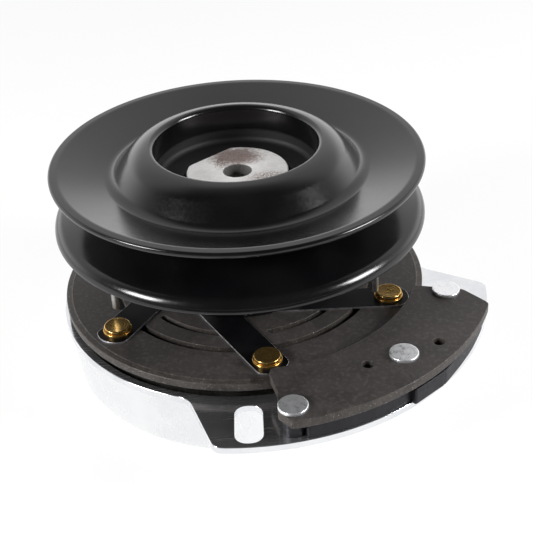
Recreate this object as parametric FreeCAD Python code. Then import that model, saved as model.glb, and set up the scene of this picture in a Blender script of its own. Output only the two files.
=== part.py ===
# Electromagnetic clutch-brake with a two-piece V-belt pulley.
# Origin: centre of the shaft bore at its lower end; +Z runs up the shaft axis.
# All sizes in millimetres.
import FreeCAD, Part
import math, os

V = FreeCAD.Vector
os.makedirs("parts", exist_ok=True)

# ---------------- driving dimensions ----------------
SHAFT_R = 12.7          # 25.4 mm shaft bore
KEY_W = 6.35            # keyway width
KEY_TOP = 16.0          # keyway roof, from the axis
HUB_R = 17.5            # 35 mm hub, carries both bearings
HUB_TOP = 85.3

WASHER_R = 21.9
WASHER_HOLE_R = 6.1
WASHER_T = 5.6
WASHER_FLAT = 18.6
WASHER_FLAT_DEG = 129.3

BRG_OR = 31.0           # 62 mm bearing outside
BRG_PITCH_R = 24.25
BALL_R = 4.35
GROOVE_R = 4.42
FB_Z0, FB_Z1 = 3.0, 17.0        # field bearing
PB_Z0, PB_Z1 = 65.3, 85.3       # pulley bearing

SHEET = 3.0             # pulley sheet, normal to the surface
RIM_TOP = 98.5
RIM_R_UP = 79.4
RIM_R_LO = 79.9
RIM_LO_BOT = 71.15
FLANK = 0.2915          # rise per mm of radius
LIP_R_IN = 34.6
CONE = 48.0             # slope of the bell, degrees

ARM_R = 79.8            # armature
ARM_BORE = 34.0
ARM_Z0, ARM_Z1 = 34.6, 38.6
ARM_STEP_R, ARM_STEP = 77.0, 0.45
RIVET_PCR = 67.4
RIVET_DEG0 = -24.0
N_STRAP = 6
STRAP_W, STRAP_T = 14.5, 0.8
STRAP_SKEW = 22.0
STRAP_END_R = 8.6
INNER_RIVET_R = 29.0
SLOT_IN_R, SLOT_IN_W = 47.0, 2.7
SLOT_OUT_R, SLOT_OUT_W = 57.8, 3.2

ROTOR_TOP = 34.0
ROTOR_R = 75.6

SHELL_TOP = 28.1
PLATE_T = 3.0
PLATE_RING_R = 81.4
PLATE_ARM_R = 108.6
PLATE_BORE_R = 77.0
ARM_AXIS_DEG = -51.8    # middle of the mounting arm and the brake plate
SLOT_R, SLOT_DEG, SLOT_W, SLOT_L = 95.2, -91.2, 11.0, 21.8

BRAKE_Z0, BRAKE_Z1 = 38.9, 42.9
BRAKE_RO, BRAKE_RI = 110.2, 77.0
POSTS = [(15.0, -101.0), (85.6, -31.2)]
MID_RIVET = (61.0, -73.7)
PIN_HOLES = [(46.1, -78.3), (76.2, -66.6)]

STUD_PCR, STUD_DEG0 = 63.4, -150.0


# ---------------- helpers ----------------
def pol(r, deg, z=0.0):
    a = math.radians(deg)
    return V(r * math.cos(a), r * math.sin(a), z)


def profile(pts):
    """closed wire in the XZ plane from (r, z, fillet) corners"""
    n = len(pts)
    P = [V(p[0], 0, p[1]) for p in pts]
    F = [p[2] if len(p) > 2 else 0.0 for p in pts]
    ins, outs, mids = [], [], []
    for i in range(n):
        a, b, c = P[i - 1], P[i], P[(i + 1) % n]
        if F[i] <= 0:
            ins.append(b); outs.append(b); mids.append(None); continue
        u = (a - b); u.normalize()
        w = (c - b); w.normalize()
        ang = math.acos(max(-1, min(1, u.dot(w))))
        d = F[i] / math.tan(ang / 2)
        bis = u + w; bis.normalize()
        cen = b + bis * (F[i] / math.sin(ang / 2))
        ins.append(b + u * d); outs.append(b + w * d)
        mids.append(cen - bis * F[i])
    edges = []
    for i in range(n):
        j = (i + 1) % n
        if mids[i] is not None:
            edges.append(Part.Arc(ins[i], mids[i], outs[i]).toShape())
        if (outs[i] - ins[j]).Length > 1e-6:
            edges.append(Part.LineSegment(outs[i], ins[j]).toShape())
    return Part.Wire(Part.__sortEdges__(edges))


def revolve(pts):
    s = Part.Face(profile(pts)).revolve(V(0, 0, 0), V(0, 0, 1), 360)
    if s.Volume < 0:
        s.reverse()
    return s


def cyl(r, z0, z1, x=0.0, y=0.0):
    return Part.makeCylinder(r, z1 - z0, V(x, y, z0))


def ring(r0, r1, z0, z1):
    return cyl(r1, z0, z1).cut(cyl(r0, z0 - 1, z1 + 1))


def prism(pts, z0, z1):
    w = Part.makePolygon([V(x, y, z0) for x, y in pts] + [V(pts[0][0], pts[0][1], z0)])
    return Part.Face(w).extrude(V(0, 0, z1 - z0))


def rot(s, deg):
    t = s.copy()
    t.rotate(V(0, 0, 0), V(0, 0, 1), deg)
    return t


def rot_pts(pts, deg):
    a = math.radians(deg)
    c, s = math.cos(a), math.sin(a)
    return [(x * c - y * s, x * s + y * c) for x, y in pts]


def arc_slot(r, w, a0, a1, z0, z1):
    """curved slot with round ends, from angle a0 to a1 (degrees)"""
    seg = Part.Face(Part.Wire([
        Part.Arc(pol(r - w / 2, a0, z0), pol(r - w / 2, (a0 + a1) / 2, z0), pol(r - w / 2, a1, z0)).toShape(),
        Part.LineSegment(pol(r - w / 2, a1, z0), pol(r + w / 2, a1, z0)).toShape(),
        Part.Arc(pol(r + w / 2, a1, z0), pol(r + w / 2, (a0 + a1) / 2, z0), pol(r + w / 2, a0, z0)).toShape(),
        Part.LineSegment(pol(r + w / 2, a0, z0), pol(r - w / 2, a0, z0)).toShape()])).extrude(V(0, 0, z1 - z0))
    for a in (a0, a1):
        p = pol(r, a)
        seg = seg.fuse(cyl(w / 2, z0, z1, p.x, p.y))
    return seg.removeSplitter()


def vfillet(s, spots, tol=1.5):
    """fillet the vertical edges near (x, y, radius)"""
    for x, y, r in spots:
        es = []
        for e in s.Edges:
            vs = e.Vertexes
            if len(vs) == 2 and abs(vs[0].Point.x - vs[1].Point.x) < 1e-5 and abs(vs[0].Point.y - vs[1].Point.y) < 1e-5:
                d = math.hypot(vs[0].Point.x - x, vs[0].Point.y - y)
                if d < tol:
                    es.append((d, e))
        if not es:
            raise RuntimeError("no edge near %.1f %.1f" % (x, y))
        es.sort(key=lambda t: t[0])
        s = s.makeFillet(r, [es[0][1]])
    return s


def rim_fillet(s, r, z, big):
    """round the circular edge of radius big at height z"""
    es = [e for e in s.Edges if isinstance(e.Curve, Part.Circle) and abs(e.Curve.Radius - big) < 1e-4
          and abs(e.Curve.Center.z - z) < 1e-4]
    return s.makeFillet(r, es)


out = {}


def put(name, shape):
    out[name] = shape


# ---------------- rotor: hub, disc, spacer, end washer ----------------
hub = ring(SHAFT_R, HUB_R, 0, HUB_TOP)
hub = hub.cut(Part.makeBox(KEY_W, KEY_TOP, HUB_TOP + 2, V(-KEY_W / 2, 0, -1)).cut(cyl(SHAFT_R - 0.01, -2, HUB_TOP + 2)))
hub = hub.cut(ring(16.4, HUB_R + 1, 1.4, 3.0))
put("rotor_hub", hub)

disc = revolve([(HUB_R, 17.0), (22.0, 17.0, 0.5), (22.0, 28.5, 1.5), (72.2, 28.5, 1.0), (72.2, 22.0, 0.4),
                (ROTOR_R, 22.0, 0.4), (ROTOR_R, ROTOR_TOP, 0.4), (68.5, ROTOR_TOP), (68.5, 32.4), (61.0, 32.4),
                (61.0, ROTOR_TOP), (HUB_R, ROTOR_TOP)])
for rr, ww in ((43.5, 3.0), (54.5, 3.0)):
    for k in range(4):
        disc = disc.cut(arc_slot(rr, ww, k * 90 - 36, k * 90 + 36, 27.0, ROTOR_TOP + 1))
put("rotor_disc", disc)
put("rotor_friction_ring", ring(61.0, 68.5, 32.4, ROTOR_TOP))
put("bearing_spacer", ring(HUB_R, 19.4, ROTOR_TOP, PB_Z0))

w = ring(WASHER_HOLE_R, WASHER_R, HUB_TOP, HUB_TOP + WASHER_T)
for a in (WASHER_FLAT_DEG, WASHER_FLAT_DEG + 180):
    w = w.cut(rot(Part.makeBox(10, 60, 20, V(WASHER_FLAT, -30, HUB_TOP - 5)), a))
w = w.cut(cyl(13.6, HUB_TOP - 1, HUB_TOP + 0.5))      # relief, so the washer bears on the hub and not on the shaft
w = w.makeChamfer(0.5, [e for e in w.Edges if abs(e.CenterOfMass.z - (HUB_TOP + WASHER_T)) < 1e-6])
put("end_washer", w)

clip = ring(16.4, 20.6, 1.5, 3.0).cut(Part.makeBox(6, 30, 6, V(-3, 0, 0)))
put("hub_retaining_ring", clip)


# ---------------- ball bearings ----------------
def bearing(prefix, z0, z1, balls):
    zc = (z0 + z1) / 2
    torus = Part.makeTorus(BRG_PITCH_R, GROOVE_R, V(0, 0, zc))
    put(prefix + "_bearing_inner_ring", revolve([(HUB_R, z0), (21.6, z0, 0.5), (21.6, z1, 0.5), (HUB_R, z1)]).cut(torus))
    put(prefix + "_bearing_outer_ring", revolve([(27.4, z0, 0.4), (BRG_OR, z0), (BRG_OR, z1), (27.4, z1, 0.4)]).cut(torus))
    bs = []
    cage = ring(23.2, 25.3, zc - 5.35, zc + 5.35)
    for i in range(balls):
        p = pol(BRG_PITCH_R, 360.0 * i / balls, zc)
        bs.append(Part.makeSphere(BALL_R, p))
        pocket = Part.makeCylinder(BALL_R + 0.1, 12.0, V(18.0, 0, zc), V(1, 0, 0))
        cage = cage.cut(rot(pocket, 360.0 * i / balls))
    put(prefix + "_bearing_balls", Part.makeCompound(bs))
    put(prefix + "_bearing_cage", cage)
    seals = []
    for a, b in ((z0 + 0.5, z0 + 1.3), (z1 - 1.3, z1 - 0.5)):
        seals.append(ring(21.95, 27.4, a, b))
    put(prefix + "_bearing_seals", Part.makeCompound(seals))


bearing("field", FB_Z0, FB_Z1, 11)
bearing("pulley", PB_Z0, PB_Z1, 11)

# ---------------- pulley ----------------
rt = RIM_TOP
val_r, val_z = 53.5, 92.0
tan_c = math.tan(math.radians(CONE))
off_f = SHEET / math.cos(math.atan(FLANK))
off_c = SHEET / math.cos(math.radians(CONE))
rim_in = val_r + (rt - val_z) / FLANK
wall_r = LIP_R_IN + SHEET
crown_z, crown = 105.1, math.tan(math.radians(8.0))       # the bell's crown falls outwards by 8 degrees
off_t = SHEET / math.cos(math.radians(8.0))
kr = (val_z + val_r * tan_c - crown_z - LIP_R_IN * crown) / (tan_c - crown)
kz = crown_z - (kr - LIP_R_IN) * crown
kr_u = (val_z + val_r * tan_c - off_c - crown_z - LIP_R_IN * crown + off_t) / (tan_c - crown)
kz_u = crown_z - off_t - (kr_u - LIP_R_IN) * crown
vr_u = val_r + (off_f - off_c) / (FLANK + tan_c)
vz_u = val_z + (vr_u - val_r) * FLANK - off_f
rim_bot = rt - 3.2
rb_in = val_r + (rim_bot - val_z + off_f) / FLANK
upper = revolve([(RIM_R_UP, rim_bot, 2.0), (RIM_R_UP, rt, 1.0), (rim_in, rt, 5.0), (val_r, val_z, 5.0), (kr, kz, 14.0),
                 (LIP_R_IN, crown_z, 2.2), (LIP_R_IN, 87.8, 2.3), (23.5, 87.8, 0.6), (23.5, PB_Z1),
                 (wall_r, PB_Z1), (wall_r, crown_z - off_t - SHEET * crown, 0.4), (kr_u, kz_u, 8.0),
                 (vr_u, vz_u, 8.0), (rb_in, rim_bot, 1.5)])
put("pulley_upper_half", upper)

web_top = 89.3
lz = RIM_LO_BOT + 4.88           # where the flank's line meets the rim's outside


def flank_lo(r):
    return lz + (RIM_R_LO - r) * FLANK


lower = revolve([(RIM_R_LO, RIM_LO_BOT, 0.8), (RIM_R_LO, lz, 5.3), (52.3, flank_lo(52.3), 2.0),
                 (52.3, web_top, 2.0), (wall_r, web_top), (wall_r, PB_Z1), (36.0, PB_Z1), (36.0, 72.0, 0.5),
                 (39.0, 72.0, 0.5), (39.0, web_top - 3.0, 2.0), (49.3, web_top - 3.0, 1.5),
                 (49.3, flank_lo(49.3) - off_f, 2.0),
                 (RIM_R_LO - 3.0, flank_lo(RIM_R_LO - 3.0) - off_f, 2.2), (RIM_R_LO - 3.0, RIM_LO_BOT, 0.6)])
put("pulley_lower_half", lower)

ph = ring(BRG_OR, 36.0, 62.5, PB_Z1).cut(ring(30.0, 32.3, 63.7, PB_Z0))
put("pulley_hub", ph)
pc = ring(28.6, 32.3, 63.7, PB_Z0).cut(Part.makeBox(8, 40, 6, V(-4, 0, 61)))
put("pulley_retaining_ring", pc)

STRAP_Z0 = ARM_Z1
STRAP_Z1 = ARM_Z1 + STRAP_T
carrier = ring(22.5, 36.0, STRAP_Z1, STRAP_Z1 + 3.6).fuse(ring(33.2, 36.0, STRAP_Z1 + 3.6, 62.5)).removeSplitter()

# leaf straps, carrier rivets, armature rivets
straps, crivets, arivets, ihole, ahole = [], [], [], [], []
along = RIVET_PCR * math.cos(math.radians(STRAP_SKEW))
b = RIVET_PCR * math.sin(math.radians(STRAP_SKEW))
span = along - math.sqrt(INNER_RIVET_R ** 2 - b ** 2)
for k in range(N_STRAP):
    ang = RIVET_DEG0 + 60.0 * k
    o = pol(RIVET_PCR, ang)
    dr = pol(1.0, ang + 180 + STRAP_SKEW)
    i = o + dr * span
    # strap drawn along local +X from the outer rivet, then placed
    e = math.sqrt(STRAP_END_R ** 2 - (STRAP_W / 2) ** 2)
    h = STRAP_W / 2
    wire = Part.Wire([
        Part.Arc(V(-e, -h, 0), V(-STRAP_END_R, 0, 0), V(-e, h, 0)).toShape(),
        Part.LineSegment(V(-e, h, 0), V(span + e, h, 0)).toShape(),
        Part.Arc(V(span + e, h, 0), V(span + STRAP_END_R - 1.2, 0, 0), V(span + e, -h, 0)).toShape(),
        Part.LineSegment(V(span + e, -h, 0), V(-e, -h, 0)).toShape()])
    s = Part.Face(wire).extrude(V(0, 0, STRAP_T))
    s = s.cut(cyl(2.5, -1, 2)).cut(cyl(2.0, -1, 2, span, 0))
    s.rotate(V(0, 0, 0), V(0, 0, 1), ang + 180 + STRAP_SKEW)
    s.translate(V(o.x, o.y, STRAP_Z0))
    straps.append(s)
    # carrier rivet, headed below the strap and above the carrier
    c1 = cyl(4.0, STRAP_Z0 - 1.6, STRAP_Z0, i.x, i.y)
    c1 = rim_fillet(c1, 0.6, STRAP_Z0 - 1.6, 4.0)
    c2 = cyl(4.0, STRAP_Z1 + 3.6, STRAP_Z1 + 5.4, i.x, i.y)
    c2 = rim_fillet(c2, 0.6, STRAP_Z1 + 5.4, 4.0)
    crivets.append(c1.fuse(c2).fuse(cyl(2.0, STRAP_Z0 - 1, STRAP_Z1 + 4, i.x, i.y)).removeSplitter())
    carrier = carrier.cut(cyl(2.0, 30, 60, i.x, i.y))
    # armature rivet with a two-step head
    h1 = rim_fillet(cyl(6.1, STRAP_Z1, STRAP_Z1 + 1.3, o.x, o.y), 0.35, STRAP_Z1 + 1.3, 6.1)
    h2 = rim_fillet(cyl(5.55, STRAP_Z1 + 1.2, STRAP_Z1 + 3.0, o.x, o.y), 0.5, STRAP_Z1 + 3.0, 5.55)
    arivets.append(h1.fuse(h2).fuse(cyl(2.5, ARM_Z0 + 0.3, STRAP_Z1 + 0.5, o.x, o.y)).removeSplitter())
    ahole.append(cyl(2.5, ARM_Z0 - 1, ARM_Z1 + 1, o.x, o.y))
put("spring_carrier", carrier)
put("leaf_straps", Part.makeCompound(straps))
put("carrier_rivets", Part.makeCompound(crivets))
put("armature_rivets", Part.makeCompound(arivets))

studs = []
for k in range(3):
    p = pol(STUD_PCR, STUD_DEG0 + 120 * k)
    s = cyl(1.6, 45.5, 79.0, p.x, p.y)
    s = rim_fillet(s, 0.7, 45.5, 1.6).cut(lower)
    s = sorted(s.Solids, key=lambda t: t.CenterOfMass.z)[0]
    studs.append(s)
put("stop_studs", Part.makeCompound(studs))

# ---------------- armature ----------------
arm = revolve([(ARM_BORE, ARM_Z0, 0.3), (ARM_R, ARM_Z0, 0.5), (ARM_R, ARM_Z1 - ARM_STEP, 0.4),
               (ARM_STEP_R + 0.5, ARM_Z1 - ARM_STEP), (ARM_STEP_R, ARM_Z1), (ARM_BORE, ARM_Z1, 0.3)])
for k in range(6):
    a = RIVET_DEG0 + 60.0 * k
    arm = arm.cut(arc_slot(SLOT_IN_R, SLOT_IN_W, a + 5.2, a + 42.0, ARM_Z0 - 1, ARM_Z1 + 1))
    arm = arm.cut(arc_slot(SLOT_OUT_R, SLOT_OUT_W, a + 2.6, a + 50.0, ARM_Z0 - 1, ARM_Z1 + 1))
for h in ahole:
    arm = arm.cut(h)
put("armature_disc", arm)

# ---------------- field: shell, pole, coil, mounting plate ----------------
shell = revolve([(26.5, 0), (78.2, 0, 6.0), (79.9, SHELL_TOP), (76.9, SHELL_TOP), (75.2, 3.0, 3.2), (26.5, 3.0)])
put("field_shell", shell)
put("field_inner_pole", revolve([(BRG_OR, 3.0), (36.0, 3.0), (36.0, 27.0, 0.8), (BRG_OR, 27.0, 0.8)]))
put("coil_bobbin", revolve([(38.0, 3.0), (70.5, 3.0), (70.5, 5.0), (40.0, 5.0), (40.0, 22.4), (70.5, 22.4),
                            (70.5, 24.0, 0.4), (38.0, 24.0, 0.4)]))
put("coil_winding", ring(40.0, 66.5, 5.0, 22.4))
put("coil_wrap", ring(66.5, 69.5, 5.0, 22.4))

PZ0, PZ1 = SHELL_TOP, SHELL_TOP + PLATE_T
arm_poly = rot_pts([(20, -58.54), (120, -95.75), (120, 95.75), (20, 58.54)], ARM_AXIS_DEG)
plate = cyl(PLATE_ARM_R, PZ0, PZ1).common(prism(arm_poly, PZ0, PZ1)).fuse(cyl(PLATE_RING_R, PZ0, PZ1)).removeSplitter()


def edge_hit(radius, sign):
    """where the straight side of the arm meets a circle"""
    sl = (77.7 - 69.7) / 21.5
    c0 = 69.7 - 50 * sl
    qa, qb, qc = 1 + sl * sl, 2 * sl * c0, c0 * c0 - radius * radius
    x = (-qb + math.sqrt(qb * qb - 4 * qa * qc)) / (2 * qa)
    return rot_pts([(x, sign * (c0 + sl * x))], ARM_AXIS_DEG)[0]


spots = []
for s in (-1, 1):
    spots.append(edge_hit(PLATE_ARM_R, s) + (5.0,))
    spots.append(edge_hit(PLATE_RING_R, s) + (9.0,))
plate = vfillet(plate, spots)
plate = plate.cut(revolve([(0, PZ0 - 1), (PLATE_BORE_R, PZ0 - 1), (PLATE_BORE_R, PZ1 - 1.4), (PLATE_BORE_R + 1.4, PZ1),
                           (PLATE_BORE_R + 1.4, PZ1 + 1), (0, PZ1 + 1)]))
sl = Part.makeBox(SLOT_L - SLOT_W + 1.4, SLOT_W, 20, V(-(SLOT_L - SLOT_W + 1.4) / 2, -SLOT_W / 2, 20))
for sx in (-1, 1):
    sl = sl.fuse(cyl(4.8, 20, 40, sx * (SLOT_L / 2 - 4.8), -0.7)).fuse(cyl(4.8, 20, 40, sx * (SLOT_L / 2 - 4.8), 0.7))
    sl = sl.fuse(Part.makeBox(4.8, 1.4, 20, V(SLOT_L / 2 - 4.8 if sx > 0 else -SLOT_L / 2, -0.7, 20)))
sl.translate(V(SLOT_R, 0, 0))
plate = plate.cut(rot(sl.removeSplitter(), SLOT_DEG))
for x, y in POSTS + [MID_RIVET]:
    plate = plate.cut(cyl(3.0, PZ0 - 1, PZ1 + 1, x, y))
put("mounting_plate", plate)

# ---------------- brake: plate, block, magnets, posts, rivets ----------------
bp_line = [(50, -30.6), (68.4, -44.4), (77.6, -48.7), (86.6, -56.6), (130, -56.0), (130, 53.9), (81.6, 54.2), (50, 30.6)]
bp = ring(BRAKE_RI, BRAKE_RO, BRAKE_Z0, BRAKE_Z1).common(prism(rot_pts(bp_line, ARM_AXIS_DEG), BRAKE_Z0, BRAKE_Z1)).removeSplitter()


def line_hit(p, q, radius):
    """where the line from p through q leaves a circle about the axis"""
    dx, dy = q[0] - p[0], q[1] - p[1]
    qa, qb, qc = dx * dx + dy * dy, 2 * (p[0] * dx + p[1] * dy), p[0] ** 2 + p[1] ** 2 - radius ** 2
    t = (-qb + math.sqrt(qb * qb - 4 * qa * qc)) / (2 * qa)
    return (p[0] + dx * t, p[1] + dy * t)


cs = []
for q, r in ((bp_line[3], 3.0), (bp_line[2], 4.0), (line_hit(bp_line[3], bp_line[4], BRAKE_RO), 1.6), (line_hit(bp_line[0], bp_line[1], BRAKE_RI), 2.0),
             (bp_line[6], 4.0), (line_hit(bp_line[6], bp_line[5], BRAKE_RO), 2.4), (line_hit(bp_line[7], bp_line[6], BRAKE_RI), 2.5)):
    cs.append(rot_pts([q], ARM_AXIS_DEG)[0] + (r,))
bp = vfillet(bp, cs)
for x, y in POSTS + [MID_RIVET]:
    bp = bp.cut(cyl(3.0, 30, 50, x, y))
for x, y in PIN_HOLES:
    bp = bp.cut(cyl(2.4, 30, 50, x, y))
put("brake_plate", bp)

bb_poly = rot_pts([(70, -30.1), (78.1, -36.5), (96.2, -50.8), (130, -77.5), (130, 78.0), (96.2, 53.3), (78, 40.0), (70, 34.1)],
                  ARM_AXIS_DEG)
bb = ring(83.0, 107.9, PZ1, BRAKE_Z0 - 0.6).common(prism(bb_poly, PZ1, BRAKE_Z0 - 0.6))
wing = [pol(r, a) for a, r in ((-46.3, 110.6), (-44.0, 110.1), (-41.6, 109.6), (-36.5, 109.0), (-30.0, 108.6), (-24.7, 108.3), (-20.0, 108.2))]
wing = prism([(p.x, p.y) for p in wing] + [(pol(98, -20).x, pol(98, -20).y), (pol(98, -46).x, pol(98, -46).y)], PZ1, BRAKE_Z0 - 0.6)
bb = bb.fuse(wing.common(prism(bb_poly, PZ1, BRAKE_Z0 - 0.6)))
bb = bb.fuse(prism(rot_pts([(100, -8.65), (110.3, -8.65), (110.3, 8.65), (100, 8.65)], -50.7), PZ1, BRAKE_Z0 - 0.6)).removeSplitter()
mags = []
for a in (-61.5, -38.5):
    m = rot(Part.makeBox(10, 14, BRAKE_Z0 - 34.0, V(90, -7, 34.0)), a)
    mags.append(m)
    bb = bb.cut(rot(Part.makeBox(10, 14, 8, V(90, -7, 34.0)), a))
bb = bb.cut(cyl(3.0, 20, 50, *MID_RIVET))
put("brake_magnet_block", bb)
put("brake_magnets", Part.makeCompound(mags))

put("brake_posts", Part.makeCompound([cyl(4.3, PZ1, BRAKE_Z0, x, y).cut(cyl(3.0, 20, 50, x, y)) for x, y in POSTS]))
rv = []
for x, y in POSTS + [MID_RIVET]:
    head = rim_fillet(cyl(5.9, BRAKE_Z1, BRAKE_Z1 + 1.4, x, y), 0.5, BRAKE_Z1 + 1.4, 5.9)
    foot = rim_fillet(cyl(5.0, PZ0 - 1.8, PZ0, x, y), 0.5, PZ0 - 1.8, 5.0)
    rv.append(head.fuse(foot).fuse(cyl(3.0, PZ0 - 1, BRAKE_Z1 + 1, x, y)).removeSplitter())
put("brake_rivets", Part.makeCompound(rv))

# ---------------- lead connector on the far side ----------------
CON_DEG = 120.0
body = Part.makeBox(13.0, 19.0, 14.0, V(76.5, -9.5, 7.0))
body = body.makeFillet(1.2, [e for e in body.Edges if abs(e.CenterOfMass.x - 89.5) < 1e-6])
body = body.cut(Part.makeBox(9.0, 15.6, 10.6, V(81.5, -7.8, 8.7)))
outer_shell = revolve([(0, 0), (78.2, 0, 6.0), (79.9, SHELL_TOP), (0, SHELL_TOP)])
body = body.cut(outer_shell)
blades = []
for y in (-3.6, 3.6):
    t = Part.makeBox(8.0, 0.8, 6.3, V(80.3, y - 0.4, 10.85))
    blades.append(rot(t, CON_DEG))
    body = body.cut(Part.makeBox(8.0, 0.8, 6.3, V(80.3, y - 0.4, 10.85)))
put("connector_housing", rot(body, CON_DEG))
put("connector_terminals", Part.makeCompound(blades))

for name, shape in out.items():
    ok = shape.isValid()
    n = len(shape.Solids)
    bbx = shape.BoundBox
    print("%-26s solids %2d valid %s vol %10.1f  z %.2f..%.2f" % (name, n, ok, shape.Volume, bbx.ZMin, bbx.ZMax))
    if shape.ShapeType == "Compound" and n == 1:
        shape = shape.Solids[0]
    shape.exportStep("parts/%s.step" % name)
print(len(out), "nodes")
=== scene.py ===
import math
import bpy
import numpy as np
from mathutils import Matrix, Vector
from mathutils.geometry import delaunay_2d_cdt


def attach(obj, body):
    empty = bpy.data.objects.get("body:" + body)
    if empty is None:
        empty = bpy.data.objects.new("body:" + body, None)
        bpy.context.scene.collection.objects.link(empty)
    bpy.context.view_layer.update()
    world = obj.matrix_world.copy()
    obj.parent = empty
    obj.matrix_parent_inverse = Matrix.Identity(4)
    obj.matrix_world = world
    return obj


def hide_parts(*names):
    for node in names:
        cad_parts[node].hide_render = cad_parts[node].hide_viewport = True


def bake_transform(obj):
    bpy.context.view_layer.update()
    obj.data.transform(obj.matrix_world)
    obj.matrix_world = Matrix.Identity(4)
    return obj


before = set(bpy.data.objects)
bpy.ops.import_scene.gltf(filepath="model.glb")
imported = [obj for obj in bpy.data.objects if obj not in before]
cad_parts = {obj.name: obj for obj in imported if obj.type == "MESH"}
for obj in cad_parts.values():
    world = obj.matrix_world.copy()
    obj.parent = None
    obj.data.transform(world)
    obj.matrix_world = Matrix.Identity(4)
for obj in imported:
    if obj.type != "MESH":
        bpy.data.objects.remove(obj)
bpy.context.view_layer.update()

MM = 0.001


# =====================================================================
# materials
# =====================================================================
class Mat:
    """small helper around a Principled material with object coordinates"""

    def __init__(self, name, base, metallic=0.0, rough=0.4, **sockets):
        self.m = bpy.data.materials.new(name)
        self.m.use_nodes = True
        self.nt = self.m.node_tree
        self.b = self.nt.nodes["Principled BSDF"]
        self.b.inputs["Base Color"].default_value = (*base, 1)
        self.b.inputs["Metallic"].default_value = metallic
        self.b.inputs["Roughness"].default_value = rough
        for k, v in sockets.items():
            self.b.inputs[k.replace("_", " ")].default_value = v
        self.tc = self.nt.nodes.new("ShaderNodeTexCoord")
        self.m.diffuse_color = (*base, 1)
        self.bumps = []

    def node(self, kind, **attrs):
        n = self.nt.nodes.new(kind)
        for k, v in attrs.items():
            setattr(n, k, v)
        return n

    def link(self, a, b):
        self.nt.links.new(a, b)

    def coord(self, scale=(1, 1, 1), rot=(0, 0, 0)):
        if scale == (1, 1, 1) and rot == (0, 0, 0):
            return self.tc.outputs["Object"]
        mp = self.node("ShaderNodeMapping")
        mp.inputs["Scale"].default_value = scale
        mp.inputs["Rotation"].default_value = rot
        self.link(self.tc.outputs["Object"], mp.inputs["Vector"])
        return mp.outputs["Vector"]

    def noise(self, size_mm, detail=3.0, rough=0.55, scale=(1, 1, 1), rot=(0, 0, 0), dist=0.0):
        n = self.node("ShaderNodeTexNoise")
        n.inputs["Scale"].default_value = 1000.0 / size_mm
        n.inputs["Detail"].default_value = detail
        n.inputs["Roughness"].default_value = rough
        n.inputs["Distortion"].default_value = dist
        self.link(self.coord(scale, rot), n.inputs["Vector"])
        return n.outputs["Fac"]

    def radial(self, centre=(0, 0, 0)):
        """distance from a vertical axis, metres"""
        s = self.node("ShaderNodeVectorMath", operation="SUBTRACT")
        s.inputs[1].default_value = centre
        self.link(self.tc.outputs["Object"], s.inputs[0])
        m = self.node("ShaderNodeVectorMath", operation="MULTIPLY")
        m.inputs[1].default_value = (1, 1, 0)
        self.link(s.outputs[0], m.inputs[0])
        ln = self.node("ShaderNodeVectorMath", operation="LENGTH")
        self.link(m.outputs[0], ln.inputs[0])
        return ln.outputs["Value"]

    def axis(self, i):
        s = self.node("ShaderNodeSeparateXYZ")
        self.link(self.tc.outputs["Object"], s.inputs[0])
        return s.outputs[i]

    def rng(self, src, a, b, c=0.0, d=1.0, smooth=True):
        r = self.node("ShaderNodeMapRange", interpolation_type="SMOOTHSTEP" if smooth else "LINEAR")
        self.link(src, r.inputs["Value"])
        for i, v in zip((1, 2, 3, 4), (a, b, c, d)):
            r.inputs[i].default_value = v
        return r.outputs["Result"]

    def math(self, op, a, b=None, clamp=False):
        m = self.node("ShaderNodeMath", operation=op, use_clamp=clamp)
        for i, v in enumerate((a, b)):
            if v is None:
                continue
            if isinstance(v, (int, float)):
                m.inputs[i].default_value = v
            else:
                self.link(v, m.inputs[i])
        return m.outputs[0]

    def mix(self, fac, ca, cb):
        m = self.node("ShaderNodeMix", data_type="RGBA")
        self.link(fac, m.inputs[0])
        for i, v in ((6, ca), (7, cb)):
            if isinstance(v, tuple):
                m.inputs[i].default_value = (*v, 1)
            else:
                self.link(v, m.inputs[i])
        return m.outputs[2]

    def color(self, out):
        self.link(out, self.b.inputs["Base Color"])

    def rough(self, out):
        self.link(out, self.b.inputs["Roughness"])

    def metal(self, out):
        self.link(out, self.b.inputs["Metallic"])

    def bump(self, height, strength, dist_mm):
        n = self.node("ShaderNodeBump")
        n.inputs["Strength"].default_value = strength
        n.inputs["Distance"].default_value = dist_mm * MM
        self.link(height, n.inputs["Height"])
        if self.bumps:
            self.link(self.bumps[-1].outputs["Normal"], n.inputs["Normal"])
        self.bumps.append(n)
        self.link(n.outputs["Normal"], self.b.inputs["Normal"])


M = {}


def scratches(mt, size=0.35, stretch=60.0, rot=0.0, lo=0.66, hi=0.74):
    """fine long lines in the XY plane"""
    n = mt.noise(size, 1.0, 0.5, scale=(1.0 / stretch, 1.0, 1.0 / stretch), rot=(0, 0, rot), dist=0.15)
    return mt.rng(n, lo, hi)


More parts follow.
